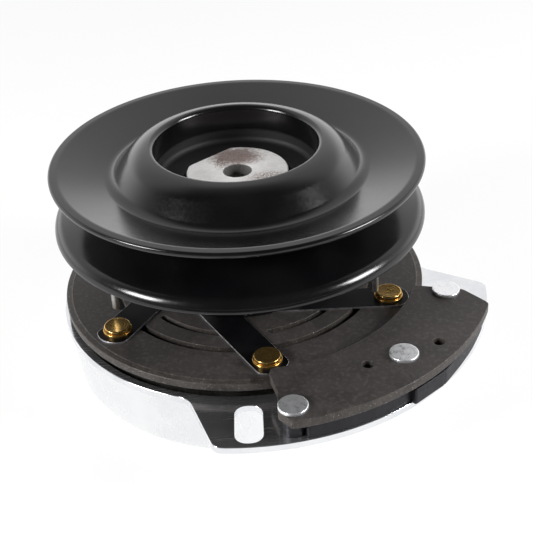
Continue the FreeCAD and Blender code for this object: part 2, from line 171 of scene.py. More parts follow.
def make_materials():
    # semi-gloss black electro-coat over drawn sheet
    m = Mat("black_coat", (0.012, 0.012, 0.013), 0.0, 0.24)
    n = m.noise(24, 2)
    m.color(m.mix(m.rng(n, 0.3, 0.7), (0.0026, 0.0026, 0.0031), (0.0048, 0.0046, 0.0049)))
    f = m.noise(1.3, 3)
    ro = m.math("ADD", m.rng(n, 0.3, 0.7, 0.17, 0.21), m.rng(f, 0.35, 0.65, -0.015, 0.02))
    # dust dulls the floor of the recess
    dust = m.math("MULTIPLY", m.rng(m.radial(), 0.0346, 0.0357, 0.45, 0.0), m.rng(m.axis(2), 0.0925, 0.0945, 1.0, 0.0))
    m.rough(m.math("ADD", ro, dust))
    m.bump(m.noise(0.9, 2), 0.05, 0.03)
    m.bump(m.noise(9.0, 1), 0.10, 0.12)
    M["black_coat"] = m.m

    # hot-rolled / blackened steel faces
    def steel(name, dark, light, rlo, rhi, spark=0.0, metallic=0.75, mottle=0.5, lines=0.35, spec=0.5):
        m = Mat(name, light, metallic, 0.5)
        m.b.inputs["Specular IOR Level"].default_value = spec
        big = m.noise(11.0, 5, 0.62)
        mid = m.noise(1.7, 4, 0.65)
        fine = m.noise(0.55, 4, 0.7)
        c = m.mix(m.rng(big, 0.30, 0.70), dark, light)
        c = m.mix(m.math("MULTIPLY", m.rng(mid, 0.46, 0.72), mottle), c, tuple(min(1, v * 1.8) for v in light))
        c = m.mix(m.math("MULTIPLY", m.rng(fine, 0.5, 0.85), 0.5), c, tuple(min(1, v * 1.9) for v in light))
        s1 = scratches(m, 0.30, 90, 0.5, 0.69, 0.76)
        s2 = scratches(m, 0.26, 120, -0.9, 0.71, 0.77)
        sc = m.math("MULTIPLY", m.math("MAXIMUM", s1, s2), lines)
        c = m.mix(sc, c, tuple(min(1, v * 2.6) for v in light))
        if spark > 0:
            sp = m.rng(m.noise(0.42, 1), 0.70, 0.74)
            c = m.mix(m.math("MULTIPLY", sp, spark), c, (0.85, 0.82, 0.78))
        m.color(c)
        m.rough(m.rng(big, 0.3, 0.7, rlo, rhi))
        m.bump(m.noise(0.4, 3, 0.7), 0.22, 0.03)
        m.bump(m.noise(3.0, 3, 0.6), 0.10, 0.10)
        M[name] = m.m

    steel("bare_steel", (0.028, 0.025, 0.024), (0.043, 0.038, 0.036), 0.52, 0.64, metallic=0.10, mottle=0.60, lines=0.16, spec=0.30)
    steel("bare_steel_edge", (0.036, 0.032, 0.029), (0.064, 0.056, 0.051), 0.42, 0.56, spark=0.50, metallic=0.30, spec=0.35)
    steel("machined_steel", (0.30, 0.29, 0.28), (0.46, 0.45, 0.44), 0.28, 0.42, metallic=1.0)
    steel("rotor_steel", (0.020, 0.019, 0.018), (0.045, 0.042, 0.038), 0.45, 0.6)

    # bright zinc, near mirror
    m = Mat("zinc_plate", (0.66, 0.68, 0.72), 0.95, 0.12)
    n = m.noise(14, 4, 0.6)
    s1 = scratches(m, 0.28, 140, 0.35, 0.68, 0.74)
    s2 = scratches(m, 0.24, 90, 1.35, 0.71, 0.76)
    s = m.math("MAXIMUM", s1, s2)
    m.color(m.mix(m.rng(n, 0.35, 0.65), (0.76, 0.775, 0.80), (0.84, 0.85, 0.865)))
    m.rough(m.math("ADD", m.rng(n, 0.3, 0.7, 0.10, 0.17), m.math("MULTIPLY", s, 0.22)))
    m.bump(s, 0.25, 0.01)
    m.bump(m.noise(5.0, 2), 0.05, 0.08)
    M["zinc_plate"] = m.m

    # satin zinc, drawn shell
    m = Mat("zinc_shell", (0.78, 0.79, 0.80), 1.0, 0.28)
    n = m.noise(20, 3, 0.55)
    v = m.noise(0.6, 2, 0.5, scale=(1, 1, 0.04))
    m.color(m.mix(m.rng(n, 0.3, 0.7), (0.85, 0.855, 0.87), (0.91, 0.915, 0.92)))
    m.rough(m.math("ADD", m.rng(n, 0.3, 0.7, 0.22, 0.32), m.rng(v, 0.5, 0.8, 0.0, 0.10)))
    m.bump(v, 0.05, 0.03)
    m.bump(m.noise(0.35, 3), 0.06, 0.02)
    M["zinc_shell"] = m.m

    # spring steel leaf
    m = Mat("spring_steel", (0.008, 0.008, 0.009), 0.0, 0.34)
    n = m.noise(9, 2)
    m.color(m.mix(m.rng(n, 0.3, 0.7), (0.0030, 0.0030, 0.0036), (0.0050, 0.0050, 0.0058)))
    m.b.inputs["Specular IOR Level"].default_value = 0.12
    m.rough(m.rng(n, 0.3, 0.7, 0.32, 0.38))
    m.bump(m.noise(0.5, 2), 0.03, 0.02)
    M["spring_steel"] = m.m
    m = Mat("spring_edge", (0.72, 0.73, 0.76), 1.0, 0.25)
    n = m.noise(1.2, 3)
    m.color(m.mix(m.rng(n, 0.35, 0.6), (0.70, 0.70, 0.72), (0.90, 0.90, 0.92)))
    m.rough(m.rng(n, 0.3, 0.7, 0.30, 0.42))
    M["spring_edge"] = m.m

    # brass
    m = Mat("brass", (0.72, 0.52, 0.25), 0.96, 0.28)
    n = m.noise(3.0, 4, 0.6)
    br = m.noise(0.25, 2, 0.6, scale=(0.03, 1, 1), rot=(0, 0, 0.7))
    c = m.mix(m.rng(n, 0.35, 0.7), (0.74, 0.47, 0.145), (0.50, 0.32, 0.105))
    m.color(m.mix(m.math("MULTIPLY", m.rng(br, 0.55, 0.75), 0.25), c, (0.90, 0.66, 0.28)))
    m.rough(m.rng(n, 0.3, 0.7, 0.18, 0.27))
    m.bump(br, 0.05, 0.01)
    m.bump(m.noise(1.6, 3), 0.08, 0.03)
    M["brass"] = m.m

    # bright zinc rivet
    m = Mat("rivet_alloy", (0.80, 0.81, 0.83), 0.85, 0.22)
    n = m.noise(2.2, 3)
    m.color(m.mix(m.rng(n, 0.3, 0.7), (0.80, 0.81, 0.84), (0.90, 0.90, 0.91)))
    m.rough(m.rng(n, 0.3, 0.7, 0.26, 0.38))
    m.bump(m.noise(0.5, 2), 0.07, 0.02)
    M["rivet_alloy"] = m.m

    # end washer: matt grey-white, speckle, rust on the top face
    m = Mat("washer_steel", (0.58, 0.56, 0.55), 0.25, 0.5)
    n = m.noise(3.2, 4, 0.65)
    fine = m.noise(0.32, 2, 0.6)
    c = m.mix(m.rng(n, 0.35, 0.68), (0.88, 0.865, 0.855), (0.80, 0.785, 0.77))
    c = m.mix(m.math("MULTIPLY", m.rng(fine, 0.60, 0.72), 0.55), c, (0.22, 0.19, 0.165))

    def blob(x, y, rx, ry, soft, size=1.3, gain=0.9):
        s = m.node("ShaderNodeVectorMath", operation="SUBTRACT")
        s.inputs[1].default_value = (x * MM, y * MM, 0)
        m.link(m.tc.outputs["Object"], s.inputs[0])
        k = m.node("ShaderNodeVectorMath", operation="MULTIPLY")
        k.inputs[1].default_value = (1 / (rx * MM), 1 / (ry * MM), 0)
        m.link(s.outputs[0], k.inputs[0])
        ln = m.node("ShaderNodeVectorMath", operation="LENGTH")
        m.link(k.outputs[0], ln.inputs[0])
        nz = m.noise(size, 4, 0.7)
        d = m.math("ADD", ln.outputs["Value"], m.math("MULTIPLY", m.math("SUBTRACT", nz, 0.5), 1.6))
        return m.math("MULTIPLY", m.rng(d, 1.0 + soft, 1.0 - soft), gain)

    grit = m.rng(m.noise(0.55, 3, 0.7), 0.44, 0.54)
    for b, col, g_ in ((blob(-1.0, 14.0, 10.5, 8.0, 0.45, 1.5, 0.85), (0.150, 0.100, 0.088), None),
                       (blob(-1.5, 11.5, 7.5, 6.0, 0.50, 1.1, 0.85), (0.150, 0.092, 0.078), grit),
                       (blob(-7.0, 6.5, 2.8, 4.5, 0.5, 0.9, 0.85), (0.125, 0.068, 0.052), grit),
                       (blob(6.0, 9.5, 5.5, 4.0, 0.6, 1.2, 0.75), (0.20, 0.13, 0.11), grit),
                       (blob(13.0, -8.5, 8.0, 5.5, 0.6, 0.9, 0.85), (0.13, 0.075, 0.06), grit),
                       (blob(16.0, -12.0, 5.0, 4.5, 0.7, 0.6, 0.60), (0.20, 0.14, 0.12), grit),
                       (blob(-12.0, -3.0, 7.0, 5.0, 0.7, 0.5, 0.22), (0.33, 0.27, 0.22), grit)):
        if g_ is not None:
            b = m.math("MULTIPLY", b, g_)
        c = m.mix(b, c, col)
    # painted shade: the bore wall of the centre hole and the edge round it are darkened to stand in for the shade
    # inside the hole
    c = m.mix(m.rng(m.radial(), 0.0064, 0.0060), c, (0.11, 0.105, 0.10))
    m.color(c)
    m.rough(m.rng(n, 0.3, 0.7, 0.42, 0.58))
    m.bump(m.noise(0.45, 3, 0.65), 0.22, 0.03)
    M["washer_steel"] = m.m

    # ground bearing steel
    m = Mat("bearing_steel", (0.62, 0.62, 0.62), 1.0, 0.18)
    n = m.noise(2.5, 3)
    m.color(m.mix(m.rng(n, 0.3, 0.7), (0.55, 0.55, 0.56), (0.68, 0.68, 0.69)))
    m.rough(m.rng(m.noise(0.4, 2), 0.3, 0.7, 0.12, 0.24))
    M["bearing_steel"] = m.m

    # moulded red seal
    m = Mat("red_seal", (0.42, 0.030, 0.022), 0.0, 0.45)
    n = m.noise(2.0, 3)
    m.color(m.mix(m.rng(n, 0.3, 0.7), (0.34, 0.022, 0.016), (0.48, 0.040, 0.028)))
    m.rough(m.rng(n, 0.3, 0.7, 0.38, 0.52))
    m.bump(m.noise(0.3, 2), 0.10, 0.02)
    M["red_seal"] = m.m

    def plastic(name, a, b_, rlo, rhi, grain=0.35, spec=0.5):
        m = Mat(name, a, 0.0, 0.4)
        m.b.inputs["Specular IOR Level"].default_value = spec
        n = m.noise(7.0, 3)
        m.color(m.mix(m.rng(n, 0.3, 0.7), a, b_))
        m.rough(m.rng(m.noise(1.5, 3), 0.3, 0.7, rlo, rhi))
        m.bump(m.noise(grain, 2), 0.10, 0.02)
        M[name] = m.m

    plastic("black_plastic", (0.014, 0.014, 0.015), (0.022, 0.022, 0.023), 0.38, 0.52)
    plastic("block_black", (0.008, 0.008, 0.011), (0.013, 0.013, 0.017), 0.40, 0.52, 0.6, spec=0.25)
    plastic("bobbin_plastic", (0.30, 0.28, 0.24), (0.36, 0.34, 0.30), 0.42, 0.55)
    plastic("wrap_tape", (0.30, 0.20, 0.055), (0.36, 0.25, 0.08), 0.30, 0.42)
    plastic("magnet", (0.055, 0.055, 0.058), (0.085, 0.083, 0.083), 0.45, 0.6, 0.25)
    plastic("friction_lining", (0.060, 0.052, 0.042), (0.13, 0.115, 0.09), 0.7, 0.9, 0.5)

    # enamelled copper turns (stacked along z, layered in r)
    m = Mat("copper_wire", (0.62, 0.24, 0.09), 0.9, 0.3)
    n = m.noise(4.0, 3)
    m.color(m.mix(m.rng(n, 0.3, 0.7), (0.55, 0.20, 0.075), (0.70, 0.29, 0.12)))
    w = m.node("ShaderNodeTexWave", wave_type="BANDS", bands_direction="Z", wave_profile="SIN")
    w.inputs["Scale"].default_value = 1000.0 / 0.8 / 20 * 2 * math.pi / 2
    m.link(m.coord(), w.inputs["Vector"])
    m.bump(w.outputs["Fac"], 0.8, 0.3)
    m.rough(m.rng(n, 0.3, 0.7, 0.24, 0.36))
    M["copper_wire"] = m.m

    # plain pale floor
    m = Mat("studio_floor", (0.86, 0.86, 0.86), 0.0, 0.85)
    n = m.noise(400, 1)
    m.color(m.mix(m.rng(n, 0.3, 0.7), (0.20, 0.20, 0.20), (0.21, 0.21, 0.21)))
    m.b.inputs["Emission Color"].default_value = (1, 1, 1, 1)
    m.b.inputs["Emission Strength"].default_value = 0.79
    m.b.inputs["Specular IOR Level"].default_value = 0.0
    M["studio_floor"] = m.m


make_materials()


# =====================================================================
# mesh building (all numbers in millimetres, converted when the mesh is made)
# =====================================================================
def pol(r, deg):
    a = math.radians(deg)
    return np.array([r * math.cos(a), r * math.sin(a)])


def rotd(p, deg):
    a = math.radians(deg)
    c, s = math.cos(a), math.sin(a)
    p = np.asarray(p, float)
    return np.stack([p[..., 0] * c - p[..., 1] * s, p[..., 0] * s + p[..., 1] * c], -1)


def section(pts, step=8.0, maxlen=5.0, closed=True):
    """(r, z, fillet) corners to short segments [(p0, n0, p1, n1), ...] with exact outward normals"""
    P = [np.array(p[:2], float) for p in pts]
    F = [p[2] if len(p) > 2 else 0.0 for p in pts]
    n = len(P)
    area = sum(P[i][0] * P[(i + 1) % n][1] - P[(i + 1) % n][0] * P[i][1] for i in range(n))
    sg = 1.0 if area > 0 else -1.0

    def out(d):
        d = d / np.linalg.norm(d)
        return np.array([d[1], -d[0]]) * sg

    ins, outs, arcs = [], [], []
    for i in range(n):
        a, b, c = P[i - 1], P[i], P[(i + 1) % n]
        if F[i] <= 0 or (not closed and i in (0, n - 1)):
            ins.append(b); outs.append(b); arcs.append(None); continue
        u = (a - b) / np.linalg.norm(a - b)
        w = (c - b) / np.linalg.norm(c - b)
        ang = math.acos(max(-1, min(1, float(u @ w))))
        d = F[i] / math.tan(ang / 2)
        bis = (u + w) / np.linalg.norm(u + w)
        cen = b + bis * (F[i] / math.sin(ang / 2))
        n0, n1 = out(b - a), out(c - b)
        p_in, p_out = b + u * d, b + w * d
        side = 1.0 if (p_in - cen) @ n0 > 0 else -1.0
        tot = math.atan2(n0[0] * n1[1] - n0[1] * n1[0], float(n0 @ n1))
        k = max(2, int(math.ceil(abs(math.degrees(tot)) / step)))
        seq = []
        for j in range(k + 1):
            t = tot * j / k
            nn = np.array([n0[0] * math.cos(t) - n0[1] * math.sin(t), n0[0] * math.sin(t) + n0[1] * math.cos(t)])
            seq.append((cen + nn * F[i] * side, nn))
        ins.append(p_in); outs.append(p_out); arcs.append(seq)
    segs = []
    for i in range(n):
        if arcs[i] is not None:
            for (p, q), (p2, q2) in zip(arcs[i][:-1], arcs[i][1:]):
                segs.append((p, q, p2, q2))
        if not closed and i == n - 1:
            break
        j = (i + 1) % n
        a, b = outs[i], ins[j]
        ln = np.linalg.norm(b - a)
        if ln > 1e-6:
            nn = out(b - a)
            k = max(1, int(math.ceil(ln / maxlen)))
            for t in range(k):
                segs.append((a + (b - a) * t / k, nn, a + (b - a) * (t + 1) / k, nn))
    return segs


class MB:
    """collects vertices, faces and exact corner normals, then makes one object"""

    def __init__(self):
        self.v, self.f, self.n, self.m = [], [], [], []
        self.count = 0

    def verts(self, arr):
        arr = np.asarray(arr, float).reshape(-1, 3)
        self.v.append(arr)
        i = self.count
        self.count += len(arr)
        return i

    def face(self, idx, normals, mat=0):
        self.f.append(idx); self.n.append(normals); self.m.append(mat)

    def lathe(self, pts, nseg=192, at=(0, 0), mat=0, segs=None, step=8.0, maxlen=5.0, closed=True, wob=None):
        segs = segs or section(pts, step, maxlen, closed)
        th = np.linspace(0, 2 * math.pi, nseg, endpoint=False)
        cs, sn = np.cos(th), np.sin(th)
        keys, rings = {}, []

        def ring(p):
            k = (round(p[0], 5), round(p[1], 5))
            if k not in keys:
                if p[0] < 1e-6:
                    keys[k] = (self.verts([[at[0], at[1], p[1]]]), 1)
                else:
                    r = p[0] + (wob(th, p) if wob else 0.0)
                    keys[k] = (self.verts(np.stack([at[0] + r * cs, at[1] + r * sn, np.full(nseg, p[1])], 1)), nseg)
            return keys[k]

        for p0, n0, p1, n1 in segs:
            (a, ka), (b, kb) = ring(p0), ring(p1)
            d = p1 - p0
            # quad a_j, b_j, b_j+1, a_j+1 ; its normal in the (r, z) plane is (-dz, dr) turned: check against n0
            flip = (d[1] * n0[0] - d[0] * n0[1]) > 0
            for j in range(nseg):
                j2 = (j + 1) % nseg
                N = lambda nn, t: (nn[0] * cs[t], nn[0] * sn[t], nn[1])
                if ka == 1:
                    idx = [a, b + j, b + j2]; nr = [N(n0, j), N(n1, j), N(n1, j2)]
                elif kb == 1:
                    idx = [a + j, b, a + j2]; nr = [N(n0, j), N(n1, j), N(n0, j2)]
                else:
                    idx = [a + j, b + j, b + j2, a + j2]; nr = [N(n0, j), N(n1, j), N(n1, j2), N(n0, j2)]
                if flip:
                    idx, nr = idx[::-1], nr[::-1]
                self.face(idx, nr, mat)

    def plate(self, outer, holes, z0, z1, edge=0.25, outer_sec=None, hole_sec=None, grid=3.0, mat=0, side=None,
              steps=3, tf=None, caps=(True, True)):
        """flat part with an outline and holes. *_sec lists (inset, z, n_out, n_up) from top to bottom."""
        side = mat if side is None else side

        def default_sec():
            s = []
            for k in range(steps + 1):
                t = math.pi / 2 * k / steps
                s.append((edge * (1 - math.sin(t)), z1 - edge + edge * math.cos(t), math.sin(t), math.cos(t)))
            for k in range(steps + 1):
                t = math.pi / 2 * (1 - k / steps)
                s.append((edge * (1 - math.sin(t)), z0 + edge - edge * math.cos(t), math.sin(t), -math.cos(t)))
            return s

        def orient(p, ccw):
            p = np.asarray(p, float)
            x, y = p[:, 0], p[:, 1]
            a = np.sum(x * np.roll(y, -1) - np.roll(x, -1) * y)
            return p if (a > 0) == ccw else p[::-1].copy()

        loops = [(orient(outer, True), outer_sec or default_sec())]
        for h in holes:
            if isinstance(h, tuple):                    # (outline, its own section)
                loops.append((orient(h[0], False), h[1]))
            else:
                loops.append((orient(h, False), hole_sec or default_sec()))
        top_loops, bot_loops = [], []
        fwd = (lambda q: q) if tf is None else (lambda q: np.asarray(q) @ tf[:3, :3].T + tf[:3, 3])
        rotn = (lambda q: q) if tf is None else (lambda q: tuple(tf[:3, :3] @ np.asarray(q)))
        for p, sec in loops:
            d = np.roll(p, -1, 0) - p
            d /= np.maximum(np.linalg.norm(d, axis=1), 1e-9)[:, None]
            en = np.stack([d[:, 1], -d[:, 0]], 1)
            vn = en + np.roll(en, 1, 0)
            ln = np.linalg.norm(vn, axis=1)
            vn = vn / np.maximum(ln, 1e-9)[:, None]
            k = 1.0 / np.clip(np.sum(vn * en, 1), 0.5, 1)
            n = len(p)
            ids, xy = [], []
            for inset, z, no, nu in sec:
                q = p - vn * (inset * k)[:, None]
                xy.append(q)
                ids.append(self.verts(fwd(np.column_stack([q, np.full(n, z)]))))
            corner = np.sum(en * np.roll(en, 1, 0), 1) < 0.90      # sharp in plan
            for s in range(len(sec) - 1):
                a, b = ids[s], ids[s + 1]
                no0, nu0, no1, nu1 = sec[s][2], sec[s][3], sec[s + 1][2], sec[s + 1][3]
                for j in range(n):
                    j2 = (j + 1) % n
                    nj = en[j] if corner[j] else vn[j]
                    nk = en[j] if corner[j2] else vn[j2]
                    self.face([a + j, b + j, b + j2, a + j2],
                              [rotn((nj[0] * no0, nj[1] * no0, nu0)), rotn((nj[0] * no1, nj[1] * no1, nu1)),
                               rotn((nk[0] * no1, nk[1] * no1, nu1)), rotn((nk[0] * no0, nk[1] * no0, nu0))], side)
            top_loops.append((xy[0], ids[0])); bot_loops.append((xy[-1], ids[-1]))
        for loops_, z, up, on in ((top_loops, loops[0][1][0][1], True, caps[0]), (bot_loops, loops[0][1][-1][1], False, caps[1])):
            if not on:
                continue
            pts, gid, edges = [], [], []
            for q, i0 in loops_:
                o = len(pts)
                pts += [tuple(t) for t in q]
                gid += [i0 + t for t in range(len(q))]
                edges += [(o + t, o + (t + 1) % len(q)) for t in range(len(q))]
            B = np.array(pts)
            if grid:
                x0, y0 = B.min(0); x1, y1 = B.max(0)
                gx = np.arange(x0, x1, grid); gy = np.arange(y0, y1, grid * 0.866)
                G = np.array([(x + (grid / 2 if k % 2 else 0), y) for k, y in enumerate(gy) for x in gx])
                keep = inside(loops_[0][0], G)
                for q, _ in loops_[1:]:
                    keep &= ~inside(q, G)
                G = G[keep]
                if len(G):
                    dmin = np.min(np.linalg.norm(G[:, None, :] - B[None], axis=2), axis=1) if len(G) * len(B) < 4e7 else \
                        np.array([np.min(np.linalg.norm(B - g, axis=1)) for g in G])
                    G = G[dmin > grid * 0.55]
                    i0 = self.verts(fwd(np.column_stack([G, np.full(len(G), z)])))
                    pts += [tuple(t) for t in G]
                    gid += [i0 + t for t in range(len(G))]
            res = delaunay_2d_cdt([Vector(t) for t in pts], edges, [], 1, 1e-5)
            ov = np.array([tuple(t) for t in res[0]])
            tri = np.array([list(t) for t in res[2]])
            cen = ov[tri].mean(1)
            ok = inside(loops_[0][0], cen)
            for q, _ in loops_[1:]:
                ok &= ~inside(q, cen)
            src = [s[0] if s else -1 for s in res[3]]
            nn = rotn((0, 0, 1.0 if up else -1.0))
            for t in tri[ok]:
                g = [gid[src[k]] for k in t]
                a, b, c = ov[t[0]], ov[t[1]], ov[t[2]]
                ccw = (b[0] - a[0]) * (c[1] - a[1]) - (b[1] - a[1]) * (c[0] - a[0]) > 0
                if ccw != up:
                    g = g[::-1]
                self.face(g, [nn] * 3, mat)

    def make(self, name, body, mats, nodes=(), warp=None):
        v = np.concatenate(self.v)
        if warp is not None:
            v = warp(v)
        me = bpy.data.meshes.new(name)
        me.from_pydata((v * MM).tolist(), [], self.f)
        me.polygons.foreach_set("use_smooth", [True] * len(self.f))
        me.polygons.foreach_set("material_index", self.m)
        for k in mats:
            me.materials.append(M[k])
        me.update()
        flat = [t for fn in self.n for t in fn]
        assert len(flat) == len(me.loops), name
        me.normals_split_custom_set([Vector(t).normalized() for t in flat])
        ob = bpy.data.objects.new(name, me)
        bpy.context.scene.collection.objects.link(ob)
        if body:
            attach(ob, body)
        if nodes:
            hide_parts(*nodes)
        return ob


def inside(poly, pts):
    poly, pts = np.asarray(poly), np.asarray(pts)
    x, y = pts[:, 0], pts[:, 1]
    res = np.zeros(len(pts), bool)
    x0, y0 = poly[:, 0], poly[:, 1]
    x1, y1 = np.roll(x0, -1), np.roll(y0, -1)
    for a, b, c, d in zip(x0, y0, x1, y1):
        if b == d:
            continue
        hit = ((b > y) != (d > y)) & (x < (c - a) * (y - b) / (d - b) + a)
        res ^= hit
    return res


def circle(r, n=96, at=(0, 0), a0=0.0):
    t = np.linspace(0, 2 * math.pi, n, endpoint=False) + a0
    return np.stack([at[0] + r * np.cos(t), at[1] + r * np.sin(t)], 1)


def arc(r, a0, a1, step_mm=1.0, at=(0, 0), ends=True):
    n = max(3, int(abs(math.radians(a1 - a0)) * r / step_mm) + 1)
    t = np.radians(np.linspace(a0, a1, n))
    p = np.stack([at[0] + r * np.cos(t), at[1] + r * np.sin(t)], 1)
    return p if ends else p[1:-1]


def line(a, b, step_mm=1.0):
    a, b = np.asarray(a, float), np.asarray(b, float)
    n = max(2, int(np.linalg.norm(b - a) / step_mm) + 1)
    return a + (b - a) * np.linspace(0, 1, n)[:, None]


def join(*chunks):
    out = []
    for c in chunks:
        for p in np.asarray(c):
            if not out or np.linalg.norm(out[-1] - p) > 1e-4:
                out.append(np.array(p, float))
    if np.linalg.norm(out[0] - out[-1]) < 1e-4:
        out.pop()
    return np.array(out)


def round_corner(poly, near, rho, steps=8):
    """rounds the corner of a dense closed outline nearest to a point with an arc of radius rho"""
    p = np.asarray(poly, float)
    n = len(p)
    i0 = int(np.argmin(np.linalg.norm(p - np.asarray(near), axis=1)))
    p = np.roll(p, -i0, 0)                       # the corner is p[0]
    a = p[0] - p[-1]
    b = p[1] - p[0]
    left = (a[0] * b[1] - a[1] * b[0]) > 0       # turns left
    m = n // 3
    fwd_, back = p[:m], np.roll(p, -1, 0)[::-1][:m]   # both start at the corner

    def offs(q, sgn):
        d = np.gradient(q, axis=0)
        d /= np.linalg.norm(d, axis=1)[:, None]
        return q + np.stack([-d[:, 1], d[:, 0]], 1) * sgn * rho

    s = 1 if left else -1
    A = offs(back, -s)                           # back runs the other way
    prev = None
    for k in range(1, m):
        for t in (0.0, 0.25, 0.5, 0.75):
            c = A[k - 1] + (A[k] - A[k - 1]) * t
            seg = fwd_[1:] - fwd_[:-1]
            u = np.clip(np.sum((c - fwd_[:-1]) * seg, 1) / np.sum(seg * seg, 1), 0, 1)
            q = fwd_[:-1] + seg * u[:, None]
            dist = np.linalg.norm(q - c, axis=1)
            j = int(np.argmin(dist))
            if dist[j] >= rho * 0.999 and k > 1:
                cen, tb, kb = c, q[j], j
                ta = back[k - 1] + (back[k] - back[k - 1]) * t
                a0 = math.atan2(*(ta - cen)[::-1]); a1 = math.atan2(*(tb - cen)[::-1])
                da = (a1 - a0 + math.pi) % (2 * math.pi) - math.pi
                arcp = [cen + rho * np.array([math.cos(a0 + da * w), math.sin(a0 + da * w)]) for w in np.linspace(0, 1, steps + 1)]
                rest = [x for x in fwd_[kb + 1:]] + [x for x in p[m:n - k + 1 if k > 1 else n]]
                out = arcp + rest
                # drop the points of the back branch that the arc has replaced
                res = [out[0]]
                for x in out[1:]:
                    if np.linalg.norm(x - res[-1]) > 0.05:
                        res.append(x)
                if np.linalg.norm(res[0] - res[-1]) < 0.05:
                    res.pop()
                return np.array(res)
    raise RuntimeError("corner not found near %s" % (near,))


def arc_slot(r, w, a0, a1):
    inner = arc(r - w / 2, a0, a1, 1.5)
    outer = arc(r + w / 2, a1, a0, 1.5)
    ca, cb = pol(r, a0), pol(r, a1)
    start = [ca + pol(w / 2, a0 + t) for t in np.linspace(0, -180, 9)]
    end = [cb + pol(w / 2, a1 + 180 - t) for t in np.linspace(0, 180, 9)]
    return join(start, inner, end, outer)


# =====================================================================
# camera
# =====================================================================
def make_camera():
    f, d = 1111.65, 0.47286
    e, rl = math.radians(26.7986), math.radians(-3.6869)
    u0, v0 = 236.3245, 154.045
    back = np.array([0, -math.cos(e), math.sin(e)])
    right = np.array([1.0, 0, 0])
    up = np.cross(back, right)
    if up[2] < 0:
        up = -up
    B = np.stack([right, -up, -back])
    R = np.array([[math.cos(rl), -math.sin(rl), 0], [math.sin(rl), math.cos(rl), 0], [0, 0, 1]])
    t = np.array([(u0 - 266.5) / f, (v0 - 266.5) / f, 1.0]); t /= np.linalg.norm(t)
    z = np.array([0, 0, 1.0])
    v = np.cross(z, t); c = float(z @ t)
    K = np.array([[0, -v[2], v[1]], [v[2], 0, -v[0]], [-v[1], v[0], 0]])
    Q = np.eye(3) + K + K @ K / (1 + c)
    Mw = Q @ R @ B
    pos = np.array([0, 0, 0.0985]) + back * d
    rot = Matrix(((Mw[0][0], -Mw[1][0], -Mw[2][0]), (Mw[0][1], -Mw[1][1], -Mw[2][1]), (Mw[0][2], -Mw[1][2], -Mw[2][2])))
    cam = bpy.data.cameras.new("camera")
    cam.lens = f / 533 * 36
    cam.sensor_width = 36
    cam.clip_start, cam.clip_end = 0.01, 20
    ob = bpy.data.objects.new("camera", cam)
    ob.matrix_world = Matrix.Translation(Vector(pos)) @ rot.to_4x4()
    bpy.context.scene.collection.objects.link(ob)
    bpy.context.scene.camera = ob


make_camera()

# =====================================================================
# pulley
# =====================================================================
SHEET, FLANK = 3.0, 0.2915
val_r, val_z, LIP = 53.5, 92.0, 34.6
tan_c = math.tan(math.radians(48.0))
off_f = SHEET / math.cos(math.atan(FLANK))
off_c = SHEET / math.cos(math.radians(48.0))
rim_in = val_r + (98.5 - val_z) / FLANK
wall = LIP + SHEET
crown_z, crown = 105.1, math.tan(math.radians(8.0))
off_t = SHEET / math.cos(math.radians(8.0))
kr = (val_z + val_r * tan_c - crown_z - LIP * crown) / (tan_c - crown)
kz = crown_z - (kr - LIP) * crown
kr_u = (val_z + val_r * tan_c - off_c - crown_z - LIP * crown + off_t) / (tan_c - crown)
kz_u = crown_z - off_t - (kr_u - LIP) * crown
vr_u = val_r + (off_f - off_c) / (FLANK + tan_c)
vz_u = val_z + (vr_u - val_r) * FLANK - off_f
rim_bot = 95.3
rb_in = val_r + (rim_bot - val_z + off_f) / FLANK
UPPER = [(79.4, rim_bot, 2.0), (79.4, 98.5, 1.0), (rim_in, 98.5, 5.0), (val_r, val_z, 5.0), (kr, kz, 14.0), (LIP, crown_z, 2.2),
         (LIP, 87.8, 2.3), (23.5, 87.8, 0.6), (23.5, 85.3), (wall, 85.3), (wall, crown_z - off_t - SHEET * crown, 0.4),
         (kr_u, kz_u, 8.0), (vr_u, vz_u, 8.0), (rb_in, rim_bot, 1.5)]
b = MB()
b.lathe(UPPER, 288, step=6.0, maxlen=3.0)
b.make("pulley_upper", "pulley", ["black_coat"], ["pulley_upper_half"])


def flank_lo(r):
    return 76.03 + (79.9 - r) * FLANK


LOWER = [(79.9, 71.15, 0.8), (79.9, 76.03, 5.3), (52.3, flank_lo(52.3), 2.0), (52.3, 89.3, 2.0),
         (wall, 89.3), (wall, 85.3), (36.0, 85.3), (36.0, 72.0, 0.5), (39.0, 72.0, 0.5), (39.0, 86.3, 2.0),
         (49.3, 86.3, 1.5), (49.3, flank_lo(49.3) - off_f, 2.0), (76.9, flank_lo(76.9) - off_f, 2.2), (76.9, 71.15, 0.6)]
b = MB()
b.lathe(LOWER, 288, step=6.0, maxlen=3.0)
b.make("pulley_lower", "pulley", ["black_coat"], ["pulley_lower_half"])

b = MB()
b.lathe([(31.0, 62.5, 0.4), (36.0, 62.5, 0.6), (36.0, 85.3, 0.3), (31.0, 85.3, 0.3), (31.0, 65.3, 0.2), (32.3, 65.3, 0.0),
         (32.3, 63.7, 0.0), (31.0, 63.7, 0.2)], 192)
b.make("pulley_hub_ring", "pulley", ["machined_steel"], ["pulley_hub"])

b = MB()
b.lathe([(22.5, 39.4, 0.3), (36.0, 39.4, 0.6), (36.0, 62.5, 0.4), (33.2, 62.5, 0.4), (33.2, 43.0, 1.2), (22.5, 43.0, 0.5)], 192)
b.make("spring_carrier_flange", "pulley", ["black_coat"], ["spring_carrier"])

b = MB()
for k in range(3):
    x, y = pol(63.4, -150 + 120 * k)
    zt = flank_lo(63.4) - off_f + 0.6
    b.lathe([(0.0, 45.5), (1.6, 45.5, 0.7), (1.6, zt, 0.2), (0.0, zt)], 32, at=(x, y), closed=False, step=12, maxlen=12)
b.make("stop_stud_pins", "pulley", ["machined_steel"], ["stop_studs"])

